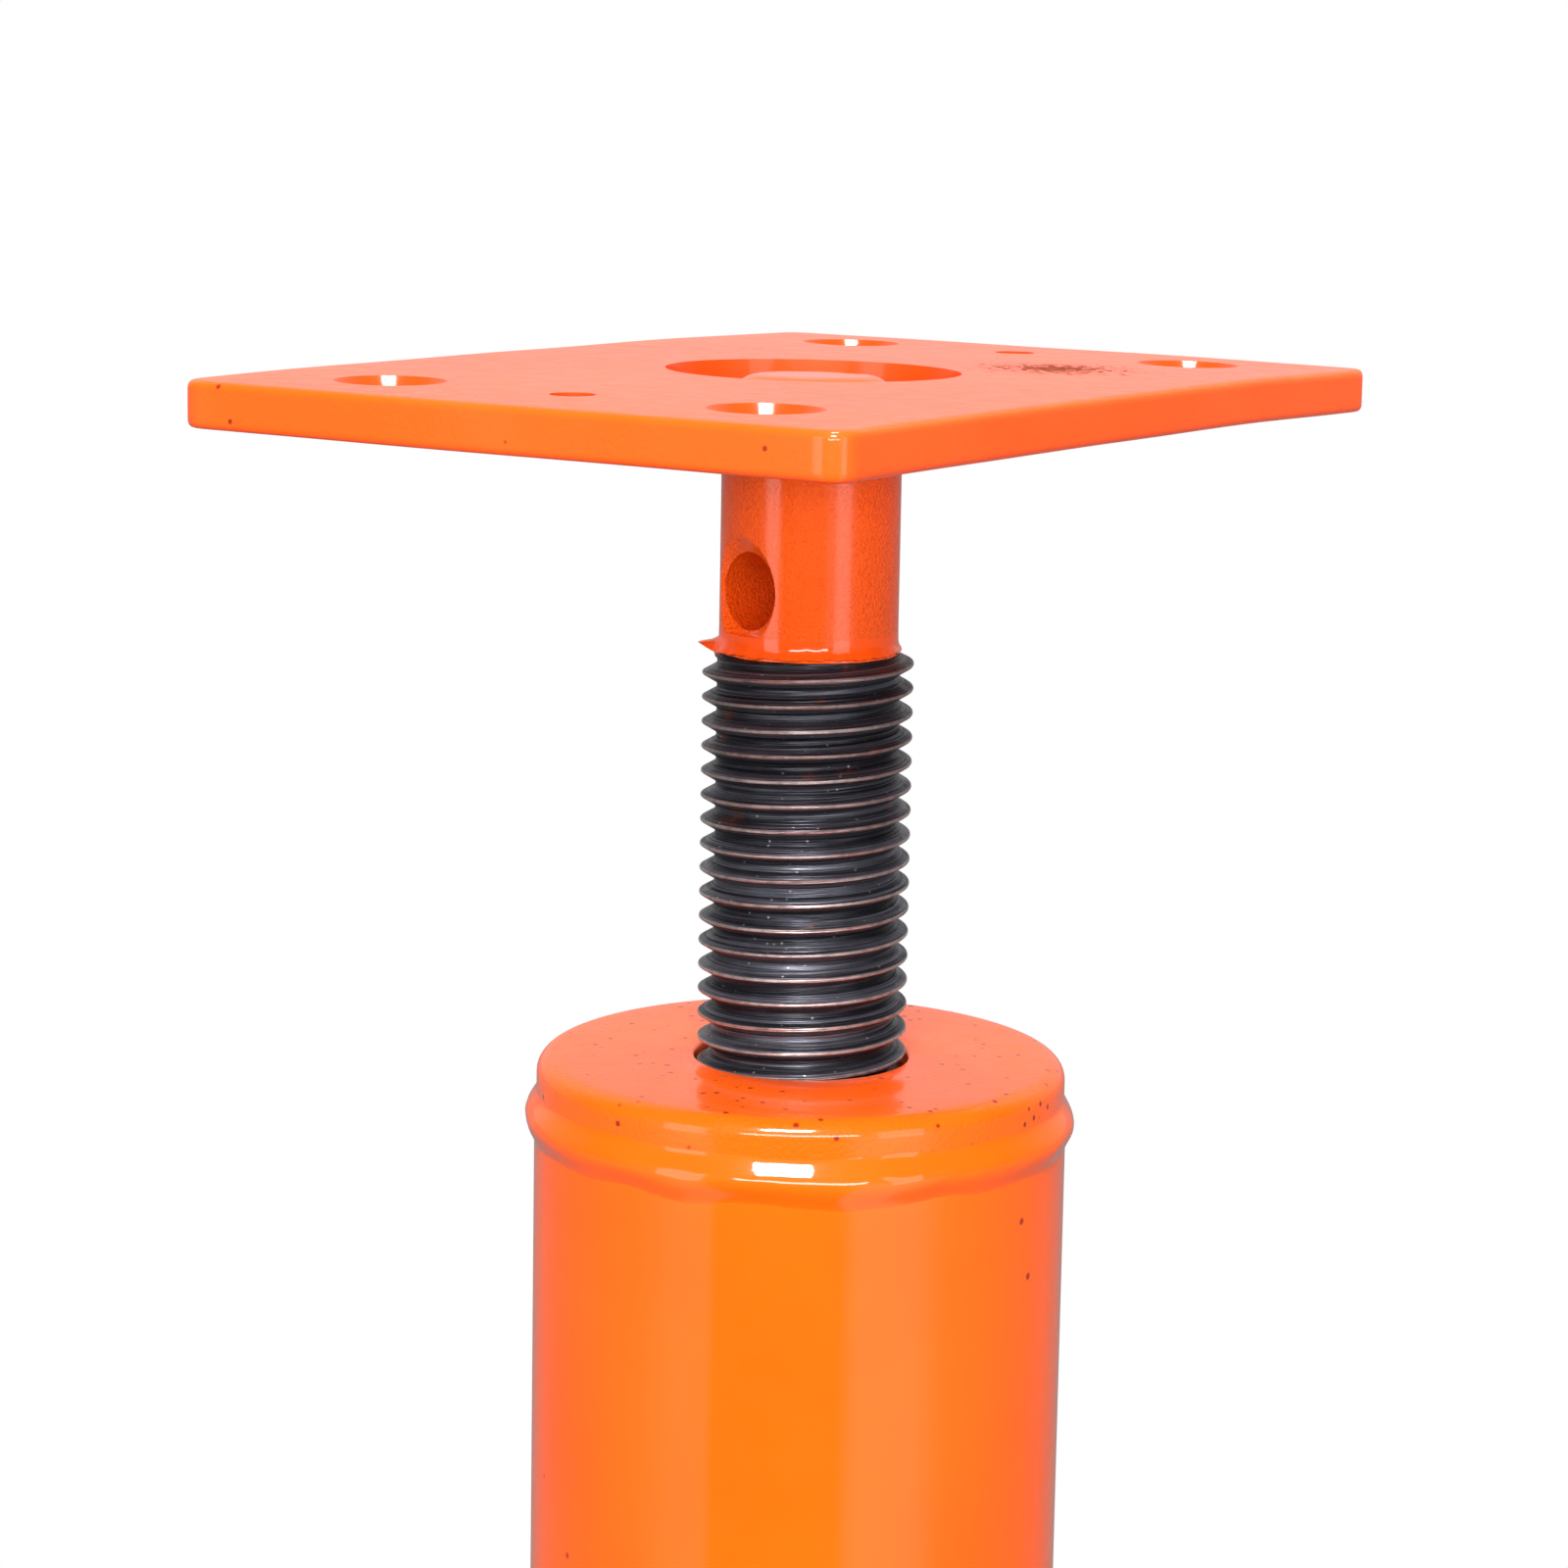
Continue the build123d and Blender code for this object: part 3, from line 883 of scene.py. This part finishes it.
@dataclass
class CappedPost:
    """The post's cap and the welds, over the CAD tube, base and gussets."""

    tube_paint: bpy.types.Material
    cap_paint: bpy.types.Material
    steel: bpy.types.Material
    hole_radius: float = 15.3
    shoulder: float = 2.6
    bead_top_drop: float = 3.6
    bead_bottom_drop: float = 12.6
    bead_proud: float = 1.15
    bead_leg: float = 4.6

    def __post_init__(self) -> None:
        """Take the heights and radii from the frame."""
        low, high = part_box("tube_cap")
        self.cap_bottom, self.cap_top, self.cap_radius = low.z / MM, high.z / MM, high.x / MM
        self.tube_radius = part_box("post_tube")[1].x / MM
        self.floor_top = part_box("base_plate")[1].z / MM

    def cap(self) -> bpy.types.Object:
        """Turn the cap with its rounded shoulder and the soft rim of its hole."""
        top, outer, hole = self.cap_top, self.cap_radius, self.hole_radius
        bend = self.shoulder
        outline = [(hole, self.cap_bottom), (hole, top - 0.5), *arc((hole + 0.5, top - 0.5), 0.5, 180, 90, 4),
                   (hole + 6, top), (outer - bend - 4, top), *arc((outer - bend, top - bend), bend, 90, 0, 10),
                   (outer, self.cap_bottom), (hole, self.cap_bottom)]
        return lathe("post_cap", outline, 192)

    def bead(self) -> bpy.types.Object:
        """Lay the weld bead round the cap, uneven in width and height, with a wavy lower edge."""
        top, low = self.cap_top - self.bead_top_drop, self.cap_top - self.bead_bottom_drop
        stations = 22
        outline = []
        for i in range(stations + 1):
            t = i / stations
            base = self.cap_radius - 0.12 + (self.tube_radius - self.cap_radius) * t
            swell = math.sin(math.pi * max(0.0, t - 0.1) / 0.9) ** 2
            outline.append((base + (self.bead_proud + 0.3) * swell, top + (low - top) * t))
        outline += [(self.tube_radius - 1, low), (self.tube_radius - 1, self.cap_bottom), (self.cap_radius - 1, self.cap_bottom),
                    (self.cap_radius - 1, top), outline[0]]
        bead = lathe("cap_weld_bead", outline, 320)
        for vertex in bead.data.vertices:
            x, y, height = vertex.co.x, vertex.co.y, vertex.co.z / MM
            out, turn = math.hypot(x, y) / MM, math.atan2(y, x)
            if out < self.cap_radius - 0.5:
                continue
            t = (top - height) / (top - low)
            fat = math.sin(math.pi * min(1.0, max(0.0, t)))
            lump = wobble(turn, 2.0, 3.0) * 0.28 + wobble(turn + 0.5 * t, 5.0, 8.0) * 0.10
            edge = wobble(turn, 8.0, 4.0) * 1.2 + wobble(turn, 9.0, 8.0) * 0.3
            grown = out + fat * lump
            vertex.co.x, vertex.co.y = x * grown / out, y * grown / out
            vertex.co.z += edge * min(1.0, max(0.0, t)) ** 1.5 * MM
        smooth(bead, 60)
        return bead

    def foot_bead(self) -> bpy.types.Object:
        """Lay the fillet weld round the tube's foot."""
        low, leg, tube = self.floor_top, 7.0, self.tube_radius
        face = [(tube - 0.1 + leg * (1 - t) ** 1.15, low + leg * t ** 1.15) for t in [i / 12 for i in range(13)]]
        outline = [(tube - 1, low - 0.1), (tube - 0.1 + leg, low - 0.1), *face[1:], (tube - 1, low + leg), (tube - 1, low - 0.1)]
        bead = lathe("foot_weld_bead", outline, 256)
        for vertex in bead.data.vertices:
            x, y, height = vertex.co.x, vertex.co.y, vertex.co.z / MM - low
            out, turn = math.hypot(x, y) / MM, math.atan2(y, x)
            if out < tube + 0.2 or height < 0.1:
                continue
            ripple = 0.13 * math.sin(turn * 96) + wobble(turn, 12.0, 5.0) * 0.5
            grown = out + ripple
            vertex.co.x, vertex.co.y = x * grown / out, y * grown / out
        smooth(bead, 60)
        return bead

    def straight_bead(self, name: str, start: Vector, end: Vector, leg: float, seed: float) -> bpy.types.Object:
        """Lay one straight run of weld along a corner.

        Args:
            name: the bead's name.
            start: its first point on the corner line, in millimetres.
            end: its last point.
            leg: how wide it is.
            seed: picks its unevenness.

        Returns:
            The bead.
        """
        length = (end - start).length
        bpy.ops.object.select_all(action="DESELECT")
        bpy.ops.mesh.primitive_cylinder_add(vertices=20, radius=leg * 0.62 * MM, depth=length * MM)
        bead = bpy.context.object
        bead.name = name
        count = int(length / 0.8)
        bisect_across(bead, (0, 0, 1), [(-length / 2 + (i + 0.5) * length / count) * MM for i in range(count)])
        for vertex in bead.data.vertices:
            along = vertex.co.z / MM + length / 2
            end_fade = min(1.0, min(along, length - along) / (leg * 0.7))
            size = (0.55 + 0.45 * math.sqrt(max(0.0, end_fade))) * (1 + 0.05 * math.sin(along * 2.6))
            size *= 1 + 0.13 * noise.noise(Vector((along / 6, seed, 0)))
            vertex.co.x *= size
            vertex.co.y *= size
        bead.matrix_world = Matrix.Translation((start + end) / 2 * MM) @ (end - start).to_track_quat("Z", "Y").to_matrix().to_4x4()
        settle(bead)
        return bead

    def gusset_beads(self) -> None:
        """Weld each gusset to the tube and the base on both its sides."""
        for side, turn in (("right", 0), ("back", 90), ("left", 180), ("front", 270)):
            low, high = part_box(f"gusset_{side}")
            peak = high.z / MM - 2
            reach = max(abs(low.x), abs(low.y), abs(high.x), abs(high.y)) / MM - 2
            runs = []
            for wall in (-3.0, 3.0):
                ground, post = self.floor_top, self.tube_radius
                runs.append((Vector((post + 12, wall, ground)), Vector((reach, wall, ground))))
                runs.append((Vector((post - 0.1, wall, ground + 12)), Vector((post - 0.1, wall, peak))))
            beads = [self.straight_bead("run", start, end, self.bead_leg, turn + i) for i, (start, end) in enumerate(runs)]
            pick(*beads)
            bpy.ops.object.join()
            joined = bpy.context.object
            joined.name = f"gusset_{side}_beads"
            joined.matrix_world = Matrix.Rotation(math.radians(turn), 4, "Z")
            settle(joined)
            smooth(joined, 50)
            dress(joined, self.tube_paint)
            bring_in(joined, Body.POST, Slot.ORANGE, f"gusset_weld_{side}")

    def build(self) -> None:
        """Make and dress the whole post."""
        for piece, finish, node in (
            (self.cap(), self.cap_paint, "tube_cap"),
            (self.bead(), self.tube_paint, "cap_weld"),
            (self.foot_bead(), self.tube_paint, "base_weld"),
        ):
            dress(piece, finish)
            bring_in(piece, Body.POST, Slot.ORANGE, node)
        self.gusset_beads()
        for node in ("post_tube", "base_plate", "gusset_right", "gusset_back", "gusset_left", "gusset_front"):
            dress(frame["nodes"][node], self.tube_paint)
        for node in ("lift_nut", "nut_weld", "stop_collar", "stop_pin"):
            dress(frame["nodes"][node], self.steel)


# ---------------------------------------------------------------------------------------------
# Studio
# ---------------------------------------------------------------------------------------------


@dataclass
class Studio:
    """The pale floor, the soft light and the camera."""

    lens: float = 90.0
    azimuth: float = 31.72
    pitch: float = 8.2
    roll: float = 1.0
    distance: float = 548.0
    above_plate: float = 38.3
    axis_right_of_centre: float = 0.0156
    drop_share: float = 0.08
    key_power: float = 25.0
    fill_power: float = 8.0
    side_power: float = 3.6
    top_power: float = 22.0
    rear_power: float = 12.0
    room_glow: float = 0.03
    wall_glow: float = 0.66

    def floor(self) -> None:
        """Lay the pale floor."""
        bpy.ops.object.select_all(action="DESELECT")
        bpy.ops.mesh.primitive_plane_add(size=60, location=(0, 0, -0.0002))
        floor = bpy.context.object
        floor.name = "studio_floor"
        settle(floor)
        floor.data.materials.append(self.floor_finish())

    def floor_finish(self) -> bpy.types.Material:
        """White to the camera, shaded near the stand; in reflections dark with a light panel to each side."""
        material = bpy.data.materials.new("pale_floor")
        material.use_nodes = True
        tree = material.node_tree
        tree.nodes.clear()
        sheet = Sheet(tree)
        turned = sheet.add("ShaderNodeMapping")
        turned.inputs["Rotation"].default_value = (0, 0, math.radians(90 - self.azimuth))
        sheet.join(sheet.add("ShaderNodeTexCoord").outputs["Object"], turned.inputs["Vector"])
        parts = sheet.add("ShaderNodeSeparateXYZ")
        sheet.join(turned.outputs[0], parts.inputs[0])
        side = sheet.sum("MULTIPLY", sheet.sum("ARCTAN2", parts.outputs["Y"], parts.outputs["X"]), 180 / math.pi)
        other = sheet.sum("MULTIPLY", side, -1.0)
        away = sheet.sum("ABSOLUTE", side)
        right = sheet.sum("MULTIPLY", sheet.window(side, 16, 27), sheet.window(side, 46, 68, 1.0, 0.0))
        left = sheet.sum("MULTIPLY", sheet.window(other, 33, 39), sheet.window(other, 44, 72, 1.0, 0.0))
        panels = sheet.sum("ADD", sheet.sum("MULTIPLY", right, 0.9), sheet.sum("MULTIPLY", left, 0.6))
        rest = sheet.sum("ADD", sheet.window(away, 40, 70, 0.0, 0.25), sheet.window(away, 120, 150, 0.0, 0.05))
        glow = sheet.add("ShaderNodeEmission")
        sheet.join(sheet.sum("ADD", panels, rest), glow.inputs["Strength"])
        mix = sheet.add("ShaderNodeMixShader")
        sheet.join(sheet.add("ShaderNodeLightPath").outputs["Is Camera Ray"], mix.inputs[0])
        sheet.join(glow.outputs[0], mix.inputs[1])
        dim = sheet.add("ShaderNodeEmission")
        dim.inputs["Strength"].default_value = 0.55
        shaded = sheet.add("ShaderNodeBsdfDiffuse")
        shaded.inputs["Color"].default_value = (0.2, 0.2, 0.2, 1.0)
        under = sheet.add("ShaderNodeAddShader")
        sheet.join(dim.outputs[0], under.inputs[0])
        sheet.join(shaded.outputs[0], under.inputs[1])
        length = sheet.add("ShaderNodeVectorMath", operation="LENGTH")
        sheet.join(turned.outputs[0], length.inputs[0])
        seen = sheet.add("ShaderNodeMixShader")
        sheet.join(sheet.window(length.outputs["Value"], 0.16, 0.42), seen.inputs[0])
        sheet.join(under.outputs[0], seen.inputs[1])
        sheet.join(sheet.add("ShaderNodeEmission").outputs[0], seen.inputs[2])
        sheet.join(seen.outputs[0], mix.inputs[2])
        sheet.join(mix.outputs[0], sheet.add("ShaderNodeOutputMaterial").inputs["Surface"])
        return material

    def lamp(self, name: str, place: tuple[float, float, float], target: tuple[float, float, float],
             size: tuple[float, float], power: float, mirrored: bool = True) -> None:
        """Hang one softbox; one that is not mirrored lights the paint without showing in its gloss."""
        light = bpy.data.lights.new(name, "AREA")
        light.shape = "RECTANGLE"
        light.size, light.size_y = size
        light.energy = power
        lamp = bpy.data.objects.new(name, light)
        bpy.context.scene.collection.objects.link(lamp)
        lamp.location = place
        lamp.visible_camera = False
        lamp.visible_glossy = mirrored
        lamp.rotation_euler = (Vector(target) - Vector(place)).to_track_quat("-Z", "Y").to_euler()

    def around(self, degrees: float, distance: float, height: float) -> tuple[float, float, float]:
        """A place seen from the stand this far to the right of the camera."""
        turn = math.radians(self.azimuth + degrees)
        return (math.sin(turn) * distance, -math.cos(turn) * distance, height)

    def lights(self) -> None:
        """A high key over the camera, a tall softbox on each side, and a bright wall behind."""
        self.lamp("key_window", self.around(-6, 1.0, 1.05), (0, 0, 0.26), (0.42, 0.26), self.key_power)
        self.lamp("front_fill", self.around(0, 1.1, 0.44), (0, 0, 0.32), (1.0, 0.16), self.fill_power)
        self.lamp("left_softbox", self.around(-49, 1.4, 0.30), (0, 0, 0.30), (0.46, 1.1), self.side_power)
        self.lamp("right_softbox", self.around(43, 1.4, 0.30), (0, 0, 0.30), (0.50, 1.1), self.side_power)
        for side in (-50, 50):
            self.lamp("low_fill", self.around(side, 1.2, 0.58), (0, 0, 0.32), (0.9, 0.34), self.fill_power / 2, False)
        for side in (-140, 140):
            self.lamp("rear_softbox", self.around(side, 1.1, 1.0), (0, 0, 0.20), (0.7, 0.7), self.rear_power, False)
        self.lamp("top_softbox", self.around(10, 0.1, 1.9), (0, 0, 0.30), (0.45, 0.35), self.top_power)
        world = bpy.context.scene.world or bpy.data.worlds.new("studio")
        bpy.context.scene.world = world
        world.use_nodes = True
        tree = world.node_tree
        tree.nodes.clear()
        sheet = Sheet(tree)
        seen = sheet.add("ShaderNodeBackground")
        seen.inputs["Color"].default_value = (1, 1, 1, 1)
        ahead = sheet.add("ShaderNodeVectorMath", operation="DOT_PRODUCT")
        turn = math.radians(self.azimuth)
        sheet.join(sheet.add("ShaderNodeTexCoord").outputs["Generated"], ahead.inputs[0])
        ahead.inputs[1].default_value = (-math.sin(turn), math.cos(turn), 0)
        wall = sheet.window(ahead.outputs["Value"], 0.1, 0.85, self.room_glow, self.wall_glow)
        glow = sheet.add("ShaderNodeBackground")
        sheet.join(wall, glow.inputs["Strength"])
        mix = sheet.add("ShaderNodeMixShader")
        sheet.join(sheet.add("ShaderNodeLightPath").outputs["Is Camera Ray"], mix.inputs[0])
        sheet.join(glow.outputs[0], mix.inputs[1])
        sheet.join(seen.outputs[0], mix.inputs[2])
        sheet.join(mix.outputs[0], sheet.add("ShaderNodeOutputWorld").inputs["Surface"])

    def camera(self) -> None:
        """Set the camera up."""
        data = bpy.data.cameras.new("camera")
        data.lens, data.sensor_width = self.lens, 36.0
        data.shift_y = -self.drop_share
        data.dof.use_dof = False
        data.clip_start = 0.01
        camera = bpy.data.objects.new("camera", data)
        bpy.context.scene.collection.objects.link(camera)
        turn, pitch, roll = (math.radians(angle) for angle in (self.azimuth, self.pitch, self.roll))
        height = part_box("load_plate")[1].z + self.above_plate * MM
        place = Vector((math.sin(turn) * self.distance * MM, -math.cos(turn) * self.distance * MM, height))
        aim = turn + math.atan(self.axis_right_of_centre * 36.0 / self.lens)
        ahead = Vector((-math.sin(aim) * math.cos(pitch), math.cos(aim) * math.cos(pitch), -math.sin(pitch)))
        look = ahead.to_track_quat("-Z", "Y").to_matrix().to_4x4()
        camera.matrix_world = Matrix.Translation(place) @ look @ Matrix.Rotation(roll, 4, "Z")
        bpy.context.scene.camera = camera

    def build(self) -> None:
        """Set the studio up."""
        self.camera()
        self.floor()
        self.lights()
        bpy.context.scene.view_settings.view_transform = "Standard"


def main() -> None:
    """Build the stand in order."""
    effects = Effects()
    Studio().build()
    plate_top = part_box("load_plate")[1].z
    plate_paint = GlossPaint("plate_paint", effects, colour=(0.92, 0.090, 0.010, 1.0), coat=0.62,
                             coat_roughness=0.07, peel_depth=0.00016, dimples=1100.0, dimple_share=0.35,
                             speck_scale=500.0, speck_amount=0.09,
                             scuff_at=(0.022, 0.031, plate_top), scuff_reach=0.014).make()
    neck_paint = GlossPaint("neck_paint", effects, colour=(0.93, 0.108, 0.005, 1.0), coat=0.8,
                            coat_roughness=0.15, peel_depth=0.00045, dimples=2600.0, dimple_share=1.0,
                            speck_amount=0.06).make()
    # A darker copy of the plate orange for the hole walls: painted shade in the recesses.
    recess_painted_shade = GlossPaint("recess_painted_shade", effects, colour=(0.58, 0.054, 0.005, 1.0),
                              thick=(0.50, 0.045, 0.004, 1.0), coat=0.62, coat_roughness=0.12).make()
    head_paint = GlossPaint("head_paint", effects, speck_amount=0.03).make()
    post_orange = {"colour": (0.92, 0.104, 0.0035, 1.0), "thick": (0.90, 0.090, 0.0025, 1.0)}
    tube_paint = GlossPaint("tube_paint", effects, peel_depth=0.00003, dimple_share=0.1, speck_amount=0.03,
                            **post_orange).make()
    cap_paint = GlossPaint("cap_paint", effects, peel_depth=0.00012, dimple_share=1.1, dimples=1800.0, coat=0.9,
                           coat_roughness=0.10, speck_amount=0.50, speck_scale=430.0, **post_orange).make()
    LoadPlate(plate_paint, recess_painted_shade).build()
    JackScrew(neck_paint, head_paint, BlackOxide("black_oxide", effects).make()).build()
    CappedPost(tube_paint, cap_paint, TurnedSteel("turned_steel", effects).make()).build()
    dress(frame["nodes"]["retaining_washer"], head_paint)


if __name__ == "__main__":
    main()
